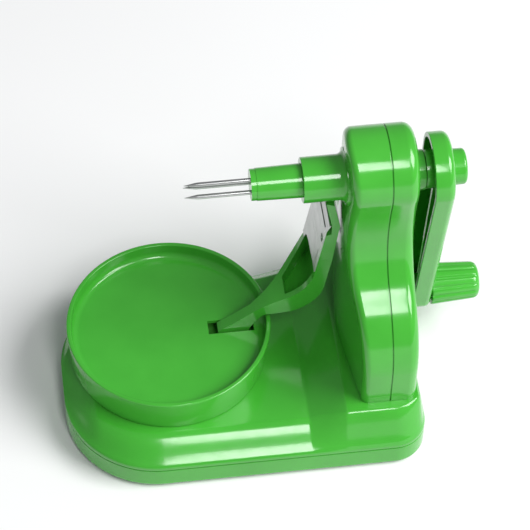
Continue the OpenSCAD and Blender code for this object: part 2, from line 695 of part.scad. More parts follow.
// Channel under the tray's floor that holds the arm's hinge pin
module arm_bracket() {
    color(light_green) difference() {
        union() {
            block(16.8, 43, bracket_y[0], bracket_y[1], bracket_low, bracket_low + 1.2);
            block(29, 43, bracket_y[0], bracket_y[0] + 2.5, bracket_low, tray_floor_z - 2);
            block(29, 43, bracket_y[1] - 2.5, bracket_y[1], bracket_low, tray_floor_z - 2);
            block(16.8, 18.8, bracket_y[0], bracket_y[1], bracket_low, tray_floor_z - 2);
            block(11, 18.8, bracket_y[0], bracket_y[1], tray_floor_z - 4, tray_floor_z - 2);
        }
        rod_y(bracket_y[0] - 1, bracket_y[1] + 1, pin_r, pin_x, pin_z);
        for (y = bracket_screw_y) rod_z(tray_floor_z - 5, tray_floor_z - 1, 1.2, 14, y);
    }
}

module bracket_screws() {
    color(steel) for (y = bracket_screw_y) translate([14, y, tray_floor_z - 4]) screw(2, 1.2, 1.1, 3.2);
}

module arm_pin() { color(steel) rod_y(bracket_y[0], bracket_y[1], pin_r, pin_x, pin_z); }

spring_r = 2.6;
spring_wire = 0.4;
spring_turns = 6;
// Torsion spring: a coil round the hinge pin with one leg on the bracket
function coil_at(t) =
    [pin_x + spring_r * cos(t), 3.6 + 5.6 * t / (360 * spring_turns), pin_z + spring_r * sin(t)];
function coil_ring(t) =
    let (c = coil_at(t), out = [cos(t), 0, sin(t)], up = [0, 1, 0])
    [for (a = [0:45:315]) c + spring_wire * (cos(a) * out + sin(a) * up)];

module arm_spring() {
    color(steel) skin([for (t = [0:24:360 * spring_turns]) coil_ring(t)]);
}

// ---- arm ------------------------------------------------------------------------------

arm_y1 = arm_y0 + arm_w;
lean = 9;              // slope of the blade from upright
blade_foot = [69.4, 73.8];
function up_lean(p, s) = p + s * [sin(lean), cos(lean)];
bend_c = [53, 71.2];   // centre of the arm's outer bend
bend_r = 22.4;
arm_depth = 6.6;       // from the blade's seat to the outer face
outer_foot = blade_foot + arm_depth * [cos(lean), -sin(lean)];
blade_len = 35.5;      // flat part of the blade, up to its slot
seam_s = (seam_arm_z - outer_foot[1]) / cos(lean);
seam_drop = 1.05;      // how much lower the seam lies on the blade's side
inner_seam = up_lean(blade_foot, seam_s - seam_drop);
outer_seam = up_lean(outer_foot, seam_s);
// Outer and inner line of the arm in the XZ plane, from the hinge to the seam
arm_under = concat([[39, 35.5], [39.2, 38.5], [46.3, 49.2], [51, 48.9]],
    arc(bend_c, bend_r, -72, -lean, 8), [outer_seam]);
arm_upper = [inner_seam, blade_foot, [65.2, 66.5], [59, 61.2], [50, 57.3], [44, 53.6], [38.5, 49.4],
    [32, 44.2], [25.5, 39.6], [23.9, 38.2], [24.2, 37], [30.5, 33]];
// Back edge of the arm seen from above
arm_back = [[20, 2.8], [40, 2.8], [45.3, 5], [50, 8.3], [54.5, 13], [59, 18.4], [63, 22.8],
    [67, arm_y1 - 0.6], [70, arm_y1], [90, arm_y1]];

// The slope of the pocket that makes the arm a channel with two flanges
pocket = concat([[55.5, 64]], arc(bend_c, bend_r - 2.4, -74, -lean, 8),
    [outer_seam - [2.4, 0], outer_seam + [-20, 0], [55, 75]]);

module peeling_arm() {
    color(green) difference() {
        union() {
            intersection() {
                plate_y(concat(arm_under, arm_upper), arm_y0, arm_y1);
                translate([0, 0, 30]) linear_extrude(80)
                    polygon(concat([[20, -2.8], [40, -2.8], [48, arm_y0], [90, arm_y0]], rev(arm_back)));
            }
            rod_y(-2.8, 2.8, 3.2, pin_x, pin_z);
            plate_y([[32, 34], [37, 28.4], [40.1, 31.5], [39, 37]], -2.8, 2.8);
        }
        intersection() {
            plate_y(pocket, arm_y0 + 3, arm_y1 - 2);
            translate([0, 0, 40]) linear_extrude(60)
                polygon(concat([[47, 0], [90, 0]],
                    rev([for (i = [2:len(arm_back) - 1]) arm_back[i] - [-2, 2.2]])));
        }
        // oval opening through the outer wall
        translate([0, 0.5 + (arm_y0 + arm_y1) / 2, 0]) rotate([0, 62, 0]) translate([-43, 0, 40])
            scale([1.35, 1, 1]) cylinder(h = 50, r = 8.6);
        rod_y(arm_y0 - 1, 4, pin_r + gap, pin_x, pin_z);
        for (y = holder_y) rod_x(60, 90, 1.1, y, seam_arm_z - 4);
    }
}

holder_y = [5, 18];
apex = [81.1, 111.5];
tip_out = [78, 127.6];
tip_in = [73.9, 129.4];
peel_window = [107.2, 110.4];  // gap that the peel leaves by

module blade_holder() {
    seat_top = up_lean(blade_foot, blade_len - 3);
    color(green) difference() {
        union() {
            plate_y(concat([outer_seam, apex + [-0.5, -2.5], apex, apex + [-0.25, 2], tip_out, tip_in,
                apex - [4, -1.5], seat_top + [2.6, 0.8], seat_top, inner_seam]), arm_y0, arm_y1);
            // tongue behind the arm's wall
            plate_y([inner_seam + [0.2, 0], inner_seam + [-1, -7.6], outer_seam + [-3.8, -7.6],
                outer_seam + [-2.6, 0]], 1, 22);
        }
        block(74, 90, arm_y0 + 3, arm_y1 - 3, peel_window[0], peel_window[1]);
        // relief behind the blade
        plate_y([up_lean(blade_foot, 17) + [2, 0], up_lean(blade_foot, 28) + [2, 0],
            up_lean(outer_foot, 27) - [2, 0], up_lean(outer_foot, 17) - [2, 0]], arm_y0 + 3, arm_y1 - 2);
        for (y = holder_y) rod_x(60, 90, 0.9, y, seam_arm_z - 4);
    }
}

lip_len = 4.2;         // polished lip beyond the slot, bent outwards
// Lower edge of the blade as (y, distance up from the foot): a leg at the back and an arch
blade_arch = [[arm_y0 - 1, -1], [arm_y0 - 1, 5.6], [1.7, 6.6], [8.8, 6.2], [13.8, 6.1], [18, 5.6],
    [20.6, 4.6], [22, 2.6], [22.8, -1]];

module blade() {
    normal = blade_t * [cos(lean), -sin(lean)];
    foot = blade_foot - normal;
    bend = up_lean(foot, blade_len);
    lip = up_lean(bend, lip_len) + 1.6 * normal;
    color(steel) difference() {
        plate_y([foot, foot + normal, bend + normal, lip + normal, lip, bend], arm_y0, arm_y1);
        translate([blade_foot[0] - 3, 0, blade_foot[1]]) rotate([0, lean, 0]) rotate([90, 0, 90])
            linear_extrude(6) polygon(blade_arch);
        rod_x(60, 90, 2, -0.2, 101.7);
        block(60, 90, arm_y0 + 2.2, arm_y0 + 2.7, 84, 93);
        // the cutting slot between the flat and the lip
        translate([bend[0], 0, bend[1]]) rotate([0, lean, 0])
            block(-5, 5, arm_y0 + 2.5, arm_y1 - 8, 0.2, 1);
    }
}

module holder_screws() {
    color(steel) for (y = holder_y) translate([outer_seam[0] - 0.2, y, seam_arm_z - 4]) rotate([0, -90, 0])
        screw(1.9, 1, 0.9, 4);
}

place() base_shell();
place() base_cover();
place() feet();
place() base_screws();
place() mount_screws();
place() shaft_bushes();
place() tower_left_shell();
place() tower_right_shell();
place() tower_screws();
place() gear_axles();
place() spindle_shaft();
place() fork_hub();
place() fork_prongs();
place() spindle_gear();
place() crank_arm();
place() crank_screw();
place() crank_cap();
place() knob_pin();
place() crank_knob();
place() knob_cap();
place() neck_gear();
place() middle_gear();
place() large_gear();
place() base_shaft();
place() shaft_gear();
place() worm();
place() tray();
place() worm_wheel();
place() wheel_screws();
place() arm_bracket();
place() bracket_screws();
place() arm_pin();
place() arm_spring();
place() peeling_arm();
place() blade_holder();
place() blade();
place() holder_screws();
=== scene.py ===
import json
import math

import bmesh
import bpy
from mathutils import Matrix, Vector


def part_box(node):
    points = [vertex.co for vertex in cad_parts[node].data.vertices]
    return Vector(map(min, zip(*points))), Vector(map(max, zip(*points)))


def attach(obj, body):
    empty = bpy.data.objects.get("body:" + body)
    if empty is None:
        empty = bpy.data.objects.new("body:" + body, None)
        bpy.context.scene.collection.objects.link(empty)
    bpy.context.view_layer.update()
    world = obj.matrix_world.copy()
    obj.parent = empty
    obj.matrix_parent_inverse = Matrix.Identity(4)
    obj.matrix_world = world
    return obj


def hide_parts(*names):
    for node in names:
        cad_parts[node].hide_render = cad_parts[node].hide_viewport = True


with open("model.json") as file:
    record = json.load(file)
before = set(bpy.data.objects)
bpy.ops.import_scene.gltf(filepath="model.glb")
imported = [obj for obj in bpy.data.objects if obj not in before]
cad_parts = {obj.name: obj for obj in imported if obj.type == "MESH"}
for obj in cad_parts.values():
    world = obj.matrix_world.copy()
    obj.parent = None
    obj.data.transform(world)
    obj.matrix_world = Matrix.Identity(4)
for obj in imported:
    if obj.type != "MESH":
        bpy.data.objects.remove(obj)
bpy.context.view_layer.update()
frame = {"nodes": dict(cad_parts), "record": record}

# Places are millimetres from the tray's axis, as in the part's own source, until
# place() turns them into metres in the row frame.
tray_lo, tray_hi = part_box("tray")
AXIS_X = (tray_lo.x + tray_hi.x) / 2
AXIS_Y = (tray_lo.y + tray_hi.y) / 2
MM = 0.001


def place(p):
    return (p[0] * MM + AXIS_X, p[1] * MM + AXIS_Y, p[2] * MM)


# ---- mesh helpers ----------------------------------------------------------------------

def sin(a):
    return math.sin(math.radians(a))


def cos(a):
    return math.cos(math.radians(a))


def arc(c, r, a0, a1, n):
    return [(c[0] + r * cos(a0 + (a1 - a0) * i / n), c[1] + r * sin(a0 + (a1 - a0) * i / n))
            for i in range(n + 1)]


def smooth(t):
    t = min(1.0, max(0.0, t))
    return t * t * (3 - 2 * t)


def spline(points, k):
    """A smooth line through the points, with k steps between each two."""
    pts = [points[0]] + list(points) + [points[-1]]
    out = []
    for i in range(1, len(pts) - 2):
        a, b, c, d = pts[i - 1], pts[i], pts[i + 1], pts[i + 2]
        for j in range(k):
            t = j / k
            out.append(tuple(
                0.5 * (2 * b[m] + (c[m] - a[m]) * t + (2 * a[m] - 5 * b[m] + 4 * c[m] - d[m]) * t * t
                       + (3 * b[m] - a[m] - 3 * c[m] + d[m]) * t ** 3) for m in (0, 1)))
    return out + [tuple(points[-1])]


def new_object(name, verts, faces):
    me = bpy.data.meshes.new(name)
    me.from_pydata([place(v) for v in verts], [], faces)
    bm = bmesh.new()
    bm.from_mesh(me)
    bmesh.ops.remove_doubles(bm, verts=bm.verts, dist=1e-7)
    bmesh.ops.recalc_face_normals(bm, faces=bm.faces)
    bm.to_mesh(me)
    bm.free()
    obj = bpy.data.objects.new(name, me)
    bpy.context.scene.collection.objects.link(obj)
    return obj


def loft(name, rings, wrap=False):
    """One closed solid over equal rings of points; wrap joins the last ring to the first."""
    n, m = len(rings[0]), len(rings)
    verts = [p for r in rings for p in r]
    faces = []
    for k in range(m if wrap else m - 1):
        a, b = k * n, (k + 1) % m * n
        faces += [(a + i, a + (i + 1) % n, b + (i + 1) % n, b + i) for i in range(n)]
    if not wrap:
        faces += [tuple(range(n)), tuple(range((m - 1) * n, m * n))]
    return new_object(name, verts, faces)


def at(axis, a, u, v):
    """A point at a along the axis, and u, v in the plane across it."""
    return {"x": (a, u, v), "y": (u, a, v), "z": (u, v, a)}[axis]


def prism(name, axis, outline, a0, a1):
    return loft(name, [[at(axis, a, u, v) for u, v in outline] for a in (a0, a1)])


def rod(axis, a0, a1, r, u=0.0, v=0.0, r1=None, n=48):
    ends = ((a0, r), (a1, r if r1 is None else r1))
    return loft("tool", [[at(axis, a, p[0], p[1]) for p in arc((u, v), q, 0, 360 - 360 / n, n - 1)]
                         for a, q in ends])


def turned(name, axis, profile, u=0.0, v=0.0, n=128):
    """A closed outline of (along, radius) turned round an axis."""
    rings = []
    for k in range(n):
        c, s = cos(360 * k / n), sin(360 * k / n)
        rings.append([at(axis, a, u + r * c, v + r * s) for a, r in profile])
    return loft(name, rings, wrap=True)


def combine(obj, operation, *tools):
    """Cuts the tools from obj, adds them to it or keeps what they share."""
    for tool in tools:
        mod = obj.modifiers.new("combine", "BOOLEAN")
        mod.operation = operation
        mod.solver = "EXACT"
        mod.object = tool
    bpy.context.view_layer.update()
    graph = bpy.context.evaluated_depsgraph_get()
    me = bpy.data.meshes.new_from_object(obj.evaluated_get(graph))
    obj.modifiers.clear()
    old, obj.data = obj.data, me
    bpy.data.meshes.remove(old)
    for tool in tools:
        bpy.data.objects.remove(tool)
    bm = bmesh.new()
    bm.from_mesh(me)
    bmesh.ops.remove_doubles(bm, verts=bm.verts, dist=2e-6)
    bmesh.ops.dissolve_degenerate(bm, edges=bm.edges, dist=1e-6)
    bm.to_mesh(me)
    bm.free()
    return obj


def cut(obj, *tools):
    return combine(obj, "DIFFERENCE", *tools)


def add(obj, *tools):
    return combine(obj, "UNION", *tools)


def finish_piece(obj, body, material, nodes, angle=32, bevel=0.0, bevel_angle=35, segments=3):
    me = obj.data
    me.materials.clear()
    me.materials.append(material)
    me.shade_smooth()
    if bevel:
        mod = obj.modifiers.new("edges", "BEVEL")
        mod.width = bevel * MM
        mod.segments = segments
        mod.limit_method = "ANGLE"
        mod.angle_limit = math.radians(bevel_angle)
        mod.use_clamp_overlap = True
        mod.harden_normals = False
        mod.miter_outer = "MITER_ARC"
        bpy.context.view_layer.update()
        graph = bpy.context.evaluated_depsgraph_get()
        beveled = bpy.data.meshes.new_from_object(obj.evaluated_get(graph))
        obj.modifiers.clear()
        obj.data = beveled
        bpy.data.meshes.remove(me)
        me = obj.data
        me.shade_smooth()
    me.set_sharp_from_angle(angle=math.radians(angle))
    mod = obj.modifiers.new("normals", "WEIGHTED_NORMAL")
    mod.keep_sharp = True
    mod.weight = 50
    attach(obj, body)
    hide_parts(*nodes)
    return obj


# ---- materials -------------------------------------------------------------------------

class Nodes:
    """Shorthand for building one material's node tree."""

    def __init__(self, name, slot):
        self.mat = bpy.data.materials.new(name)
        self.mat["slot"] = slot
        self.mat.use_nodes = True
        self.tree = self.mat.node_tree
        self.bsdf = self.tree.nodes["Principled BSDF"]
        self.coords = self.tree.nodes.new("ShaderNodeTexCoord")

    def noise(self, scale, detail=3.0, stretch=(1, 1, 1), rough=0.5):
        space = self.tree.nodes.new("ShaderNodeMapping")
        space.inputs["Scale"].default_value = stretch
        self.tree.links.new(self.coords.outputs["Object"], space.inputs["Vector"])
        node = self.tree.nodes.new("ShaderNodeTexNoise")
        node.inputs["Scale"].default_value = scale
        node.inputs["Detail"].default_value = detail
        node.inputs["Roughness"].default_value = rough
        self.tree.links.new(space.outputs["Vector"], node.inputs["Vector"])
        return node.outputs["Fac"]

    def ramp(self, value, stops):
        node = self.tree.nodes.new("ShaderNodeValToRGB")
        ramp = node.color_ramp
        for i, (t, colour) in enumerate(stops):
            if i > 1:
                ramp.elements.new(t)
            ramp.elements[i].position = t
            ramp.elements[i].color = (*colour, 1)
        self.tree.links.new(value, node.inputs["Fac"])
        return node.outputs["Color"]

    def spread(self, value, low, high):
        node = self.tree.nodes.new("ShaderNodeMapRange")
        node.inputs["From Min"].default_value = 0.3
        node.inputs["From Max"].default_value = 0.7
        node.inputs["To Min"].default_value = low
        node.inputs["To Max"].default_value = high
        self.tree.links.new(value, node.inputs["Value"])
        return node.outputs["Result"]

    def bump(self, value, distance, strength, base=None):
        node = self.tree.nodes.new("ShaderNodeBump")
        node.inputs["Distance"].default_value = distance
        node.inputs["Strength"].default_value = strength
        self.tree.links.new(value, node.inputs["Height"])
        if base is not None:
            self.tree.links.new(base, node.inputs["Normal"])
        return node.outputs["Normal"]

    def link(self, value, socket):
        self.tree.links.new(value, self.bsdf.inputs[socket])


def plastic(name, slot, dark, light, rough=(0.13, 0.2), coat=0.25):
    """Glossy moulding: faint flow clouding, faint waviness and a very fine grain."""
    m = Nodes(name, slot)
    m.link(m.ramp(m.noise(34, 4), ((0.3, dark), (0.7, light))), "Base Color")
    m.link(m.spread(m.noise(160, 4), *rough), "Roughness")
    wave = m.bump(m.noise(38, 1), 0.0006, 0.12)
    m.link(m.bump(m.noise(2200, 2), 0.00004, 0.22, wave), "Normal")
    m.bsdf.inputs["IOR"].default_value = 1.5
    m.bsdf.inputs["Coat Weight"].default_value = coat
    m.bsdf.inputs["Coat Roughness"].default_value = 0.06
    return m.mat


def metal(name, slot, dark, light, rough, stretch):
    """Ground or plated metal: streaks along one direction and small stains."""
    m = Nodes(name, slot)
    m.bsdf.inputs["Metallic"].default_value = 1.0
    m.link(m.ramp(m.noise(120, 5), ((0.3, dark), (0.7, light))), "Base Color")
    streaks = m.noise(300, 3, stretch)
    m.link(m.spread(streaks, *rough), "Roughness")
    m.link(m.bump(streaks, 0.00003, 0.35), "Normal")
    return m.mat


def matt(name, slot, dark, light, rough, grain):
    m = Nodes(name, slot)
    m.link(m.ramp(m.noise(90, 4), ((0.3, dark), (0.7, light))), "Base Color")
    m.link(m.spread(m.noise(400, 3), *rough), "Roughness")
    m.link(m.bump(m.noise(grain, 3), 0.00008, 0.4), "Normal")
    return m.mat


GREEN = plastic("green_moulding", "green_abs", (0.050, 0.375, 0.030), (0.062, 0.43, 0.038))
PALE = plastic("pale_green_moulding", "light_green_abs", (0.085, 0.46, 0.05), (0.10, 0.52, 0.065),
               rough=(0.25, 0.35), coat=0.1)
RUBBER = matt("foot_rubber", "foot_rubber", (0.010, 0.018, 0.012), (0.024, 0.036, 0.026), (0.6, 0.8), 1800)
NYLON = matt("gear_nylon", "gear_acetal", (0.72, 0.70, 0.62), (0.82, 0.80, 0.72), (0.35, 0.5), 1500)
ZINC = metal("zinc_plate", "plated_steel", (0.50, 0.51, 0.52), (0.66, 0.67, 0.68), (0.25, 0.42), (1, 1, 1))
STAINLESS = metal("ground_stainless", "stainless", (0.50, 0.51, 0.50), (0.60, 0.61, 0.60), (0.26, 0.4),
                  stretch=(1, 0.12, 4))

BY_SLOT = {"green_abs": GREEN, "light_green_abs": PALE, "foot_rubber": RUBBER, "gear_acetal": NYLON,
           "plated_steel": ZINC, "stainless": STAINLESS}


# ---- base ------------------------------------------------------------------------------

LEFT, RIGHT, FRONT = 53.2, 119.5, 64.5
BACK = (45.5, 54.5)
LEFT_R, RIGHT_R = 45.0, 16.0
LEFT_C, RIGHT_C = LEFT_R - LEFT, RIGHT - RIGHT_R
FOOT_H, SEAM_Z, DECK_Z, PLATFORM_Z = 2.0, 14.0, 26.0, 34.0
SKIRT, FRONT_SKIRT, BACK_SKIRT, BACK_TRAY_SKIRT = 15.0, 11.0, 4.0, 11.0
LIP = 2.5
RAMP = (62.5, 80.0)
WALL = 2.5
BASE_SCREWS = ((-36, -34), (-30, 26), (108, -51), (104, 47))
FEET = ((-24, -47), (-18, 30), (96, -52), (88, 44))
FOOT_R, SCREW_HEAD_R = 7.05, 3.2
HUB_BORE_R = 9.3     # hole for the tray's hub
TOWER_OPENING = ((91.2, -46), (102.3, -46), (102.3, 30), (91.2, 30))
GROOVE = 0.25       # half width of the groove at a parting line


def corner_at(x, y, d):
    if x < LEFT_C:
        return y - LEFT_R + math.sqrt(max(0.0, (LEFT_R - d) ** 2 - (x - LEFT_C) ** 2))
    if x > RIGHT_C:
        return y - RIGHT_R + math.sqrt(max(0.0, (RIGHT_R - d) ** 2 - (x - RIGHT_C) ** 2))
    return y - d


def back_at(x, d):
    return corner_at(x, BACK[0] + (BACK[1] - BACK[0]) * smooth((x - 40) / 52), d)


def base_outline(d):
    side = [(92 - 52 * i / 16, back_at(92 - 52 * i / 16, d)) for i in range(17)]
    return (arc((LEFT_C, LEFT_R - FRONT), LEFT_R - d, 180, 270, 30)
            + arc((RIGHT_C, RIGHT_R - FRONT), RIGHT_R - d, 270, 360, 20)
            + arc((RIGHT_C, BACK[1] - RIGHT_R), RIGHT_R - d, 0, 90, 20) + side
            + arc((LEFT_C, BACK[0] - LEFT_R), LEFT_R - d, 90, 180, 30))


def on_ramp(x):
    return min(1.0, max(0.0, (x - RAMP[0]) / (RAMP[1] - RAMP[0])))


def top_at(x):
    return DECK_Z + (PLATFORM_Z - DECK_Z) * on_ramp(x)


def rise(e):
    return smooth(0.12 + 0.88 * e / SKIRT)


def shell_z(x, t, d):
    ends = min(rise(x + LEFT - d), rise((RIGHT - d - x) * 4))
    return SEAM_Z + LIP + (top_at(x) - d - SEAM_Z - LIP) * rise(t * SKIRT) * ends


def skirt_side(x, y, w, d):
    """One section from the parting line at y up and across a skirt of width w."""
    s = 1 if w > 0 else -1
    z0 = shell_z(x, 0, d)
    if d:
        lip = [(x, y, SEAM_Z - 1), (x, y, z0 - 1), (x, y + s * 0.05, z0 - 0.5), (x, y + s * 0.2, z0)]
    else:
        lip = [(x, y + s * 0.8, SEAM_Z), (x, y + s * 0.8, SEAM_Z + GROOVE),
               (x, y + s * 0.15, SEAM_Z + GROOVE + 0.05), (x, y, SEAM_Z + GROOVE + 0.25),
               (x, y, z0 - 1.2), (x, y + s * 0.1, z0 - 0.65), (x, y + s * 0.4, z0 - 0.2)]
    steps = [0.07, 0.12, 0.18, 0.25, 0.32, 0.4, 0.48, 0.56, 0.64, 0.72, 0.8, 0.87, 0.94, 1.0]
    return lip + [(x, y + w * t, shell_z(x, t, d)) for t in steps]


def shell_section(x, d):
    f, b = corner_at(x, FRONT, d), back_at(x, d)
    room = 0.35 * (f + b)
    wf = min(room, SKIRT + (FRONT_SKIRT - SKIRT) * smooth(on_ramp(x)))
    wb = min(room, BACK_TRAY_SKIRT + (BACK_SKIRT - BACK_TRAY_SKIRT) * smooth(on_ramp(x)))
    return skirt_side(x, b, -wb, d) + skirt_side(x, -f, wf, d)[::-1]


def shell_stations(d):
    left = [-LEFT + d + (LEFT_R - d) * (1 - cos(a)) for a in range(3, 90, 3)]
    flat = [LEFT_C + (RAMP[0] - 1 - LEFT_C) * i / 12 for i in range(13)]
    ramp = ([RAMP[0] - 0.3, RAMP[0] + 0.3, RAMP[0] + 1.2, 66, 70, 74]
            + [RAMP[1] - 1.2, RAMP[1] - 0.3, RAMP[1] + 0.3, RAMP[1] + 1.5])
    right = [RIGHT_C + (RIGHT_R - d) * sin(a) for a in list(range(0, 80, 6)) + [82, 85, 87]]
    return left + flat + ramp + [86, 92, 98] + right


def make_base_shell():
    obj = loft("base_top", [shell_section(x, 0) for x in shell_stations(0)])
    cut(obj, loft("tool", [shell_section(x, WALL) for x in shell_stations(WALL)]))
    cut(obj, rod("z", DECK_Z - 6, DECK_Z + 4, HUB_BORE_R, n=64),
        prism("tool", "z", TOWER_OPENING, PLATFORM_Z - 6, PLATFORM_Z + 1))
    finish_piece(obj, "base", GREEN, ["base_shell"], angle=40)


def make_base_cover():
    edge = [(FOOT_H, 1.3), (FOOT_H + 0.2, 0.7), (FOOT_H + 0.6, 0.25), (FOOT_H + 1.2, 0.05), (FOOT_H + 1.9, 0)]
    top = SEAM_Z - GROOVE
    steps = edge + [(top - 0.25, 0), (top - 0.05, 0.15), (top, 0.8), (SEAM_Z, 0.8)]
    obj = loft("base_bottom", [[(x, y, z) for x, y in base_outline(d)] for z, d in steps])
    cut(obj, prism("tool", "z", base_outline(WALL), FOOT_H + WALL, SEAM_Z + 1))
    cut(obj, *[rod("z", FOOT_H - 1, FOOT_H + 1.5, FOOT_R, x, y) for x, y in FEET],
        *[rod("z", FOOT_H - 1, FOOT_H + WALL + 1, SCREW_HEAD_R, x, y) for x, y in BASE_SCREWS])
    finish_piece(obj, "base", GREEN, ["base_cover"], angle=40)


# ---- tower -----------------------------------------------------------------------------

TOWER_X0, SPLIT_X, TOWER_X1 = 81.8, 101.3, 114.3
HEAD_R, HEAD_Z, NECK_W = 20.2, 149.0, 15.8
LOBE_W, LOBE_R, LOBE_Z, NECK_R = 51.0, 40.0, 55.0, 33.0
LEFT_EDGE_R, RIGHT_EDGE_R = 3.3, 5.0
SPINDLE_Z = 145.0
COLLAR_X0, COLLAR_BORE_R = 62.0, 8.05
TAIL_BORE_R = 5.05     # bearing of the spindle's thin end
LOBE_C = (LOBE_W - LOBE_R, LOBE_Z)
NECK_C = (NECK_W + NECK_R,
          LOBE_Z + math.sqrt((NECK_R + LOBE_R) ** 2 - (NECK_W + NECK_R - LOBE_W + LOBE_R) ** 2))
THROAT_R = (NECK_W ** 2 + (HEAD_Z - NECK_C[1]) ** 2 - HEAD_R ** 2) / (2 * (HEAD_R - NECK_W))
THROAT_C = (NECK_W + THROAT_R, NECK_C[1])
LOBE_A = math.degrees(math.atan2(NECK_C[1] - LOBE_C[1], NECK_C[0] - LOBE_C[0]))
THROAT_A = math.degrees(math.atan2(HEAD_Z - THROAT_C[1], -THROAT_C[0]))
if THROAT_A < 0:
    THROAT_A += 360
TOWER_SCREWS = ((0, 161.7), (-34.5, 77), (34.5, 77), (42.5, 54))
SEAT_DEPTH, SEAT_R = 2.2, 2.3     # recess for each screw's head


def tower_profile(d, bottom):
    half = ([(LOBE_W - 0.5 - d, bottom)] + arc(LOBE_C, LOBE_R - d, 0, LOBE_A, 22)
            + arc(NECK_C, NECK_R + d, LOBE_A + 180, 180, 18)[1:]
            + arc(THROAT_C, THROAT_R + d, 180, THROAT_A, 8)[1:]
            + arc((0, HEAD_Z), HEAD_R - d, THROAT_A - 180, 90, 22)[1:])
    return half + [(-y, z) for y, z in half[-2::-1]]


def tower_ring(x, d):
    return [(x, y, z) for y, z in tower_profile(d, PLATFORM_Z)]


def crown(y):
    """How far the left face falls back from its middle at y."""
    return 0.14 * (math.sqrt(y * y + 64) - 8)


def edge_rings(x0, r):
    """Rings round an edge of radius r, from the face at x0; a negative r is the right edge."""
    return [tower_ring(x0 + r * (1 - cos(a)), abs(r) * (1 - sin(a))) for a in range(0, 91, 10)]


def left_rings():
    return [[(x + crown(y), y, z) for x, y, z in ring] for ring in edge_rings(TOWER_X0, LEFT_EDGE_R)]


def right_rings():
    return edge_rings(TOWER_X1, -RIGHT_EDGE_R)[::-1]


def crowned_loft(name, rings, across):
    """A loft whose first end is a crowned face, drawn as rows of points from side to side."""
    n, m = len(rings[0]), len(rings)
    top = (n - 1) // 2
    verts = [p for r in rings for p in r]

    def index(i, k):
        return i if k == 0 else n - 1 - i if k == across else n * m + i * (across - 1) + k - 1

    for i in range(top):
        y0, z = rings[0][i][1:]
        y1 = rings[0][n - 1 - i][1]
        for k in range(1, across):
            y = y0 + (y1 - y0) * k / across
            verts.append((TOWER_X0 + crown(y), y, z))
    faces = [(index(i, k), index(i + 1, k), index(i + 1, k + 1), index(i, k + 1))
             for i in range(top - 1) for k in range(across)]
    faces += [(index(top - 1, k), top, index(top - 1, k + 1)) for k in range(across)]
    faces.append(tuple(index(0, k) for k in range(across + 1)))
    for k in range(m - 1):
        a, b = k * n, k * n + n
        faces += [(a + i, a + (i + 1) % n, b + (i + 1) % n, b + i) for i in range(n)]
    faces.append(tuple(range((m - 1) * n, m * n)))
    return new_object(name, verts, faces)


def parting_rings(x, s):
    return [tower_ring(x - s * (GROOVE + 0.3), 0), tower_ring(x - s * (GROOVE + 0.08), 0.1),
            tower_ring(x - s * GROOVE, 0.3), tower_ring(x - s * GROOVE, 0.9), tower_ring(x, 0.9)]


def tower_cavity(x0, x1):
    return prism("tool", "x", tower_profile(2.6, PLATFORM_Z - 1), x0, x1)


def make_tower():
    left = crowned_loft("tower_left", left_rings() + parting_rings(SPLIT_X, 1), 24)
    room = tower_cavity(TOWER_X0, SPLIT_X + 1)
    behind = [(TOWER_X0 + WALL + crown(y), y) for y in range(-60, 61, 3)]
    combine(room, "INTERSECT", prism("tool", "z", behind + [(120, 60), (120, -60)], 0, 200))
    cut(left, room)
    flare = arc((TOWER_X0 - 2.96, 13.7), 3, 270, 360, 8)
    x0, r0 = COLLAR_X0, COLLAR_BORE_R
    sleeve = ([(x0, r0), (x0, 10.3), (x0 + 0.12, 10.58), (x0 + 0.4, 10.7)] + flare
              + [(83.5, 13.7), (83.5, 11), (88, 11), (88, r0)])
    add(left, turned("tool", "x", sleeve, 0, SPINDLE_Z, n=96))
    cut(left, rod("x", COLLAR_X0 - 1, 90, COLLAR_BORE_R, 0, SPINDLE_Z, n=96))
    finish_piece(left, "base", GREEN, ["tower_left_shell"], angle=40)

    right = loft("tower_right", parting_rings(SPLIT_X, -1)[::-1] + right_rings())
    cut(right, tower_cavity(SPLIT_X - 1, TOWER_X1 - WALL))
    boss = [(104, TAIL_BORE_R), (104, 9.5), (118.3, 9.5), (118.65, 9.35), (118.8, 9.0), (118.8, TAIL_BORE_R)]
    add(right, turned("tool", "x", boss, 0, SPINDLE_Z, n=96))
    cut(right, rod("x", 103, 120, TAIL_BORE_R, 0, SPINDLE_Z, n=64),
        *[rod("x", TOWER_X1 - SEAT_DEPTH, TOWER_X1 + 1, SEAT_R, y, z) for y, z in TOWER_SCREWS])
    finish_piece(right, "base", GREEN, ["tower_right_shell"], angle=40)


# ---- tray ------------------------------------------------------------------------------

TRAY_R, RIM_Z, FLOOR_Z = 49.5, 46.0, 38.5
SLOT = ((19.3, -4), (41.5, -4), (41.5, 4), (19.3, 4))


def make_tray():
    low = DECK_Z + 0.3
    profile = ([(20.2, 0.02), (20.2, 9), (36.5, 9), (36.5, 44.8), (36.1, 45.3), (low, 45.9), (low, 47.7),
                (low + 0.15, 47.88), (low + 0.5, 48.0)]
               + [(z, r) for r, z in arc((TRAY_R - 0.7, RIM_Z - 0.7), 0.7, 0, 90, 6)]
               + [(z, r) for r, z in arc((TRAY_R - 1.6, RIM_Z - 0.6), 0.6, 90, 180, 6)]
               + [(z, r) for r, z in arc((TRAY_R - 5.9, FLOOR_Z + 3.4), 3.4, 0, -90, 12)]
               + [(FLOOR_Z, 0.02)])
    obj = turned("turntable_tray", "z", profile, n=192)
    cut(obj, prism("tool", "z", SLOT, FLOOR_Z - 3, FLOOR_Z + 1))
    finish_piece(obj, "turntable", GREEN, ["tray"], angle=38)


# ---- spindle, crank and knob -----------------------------------------------------------

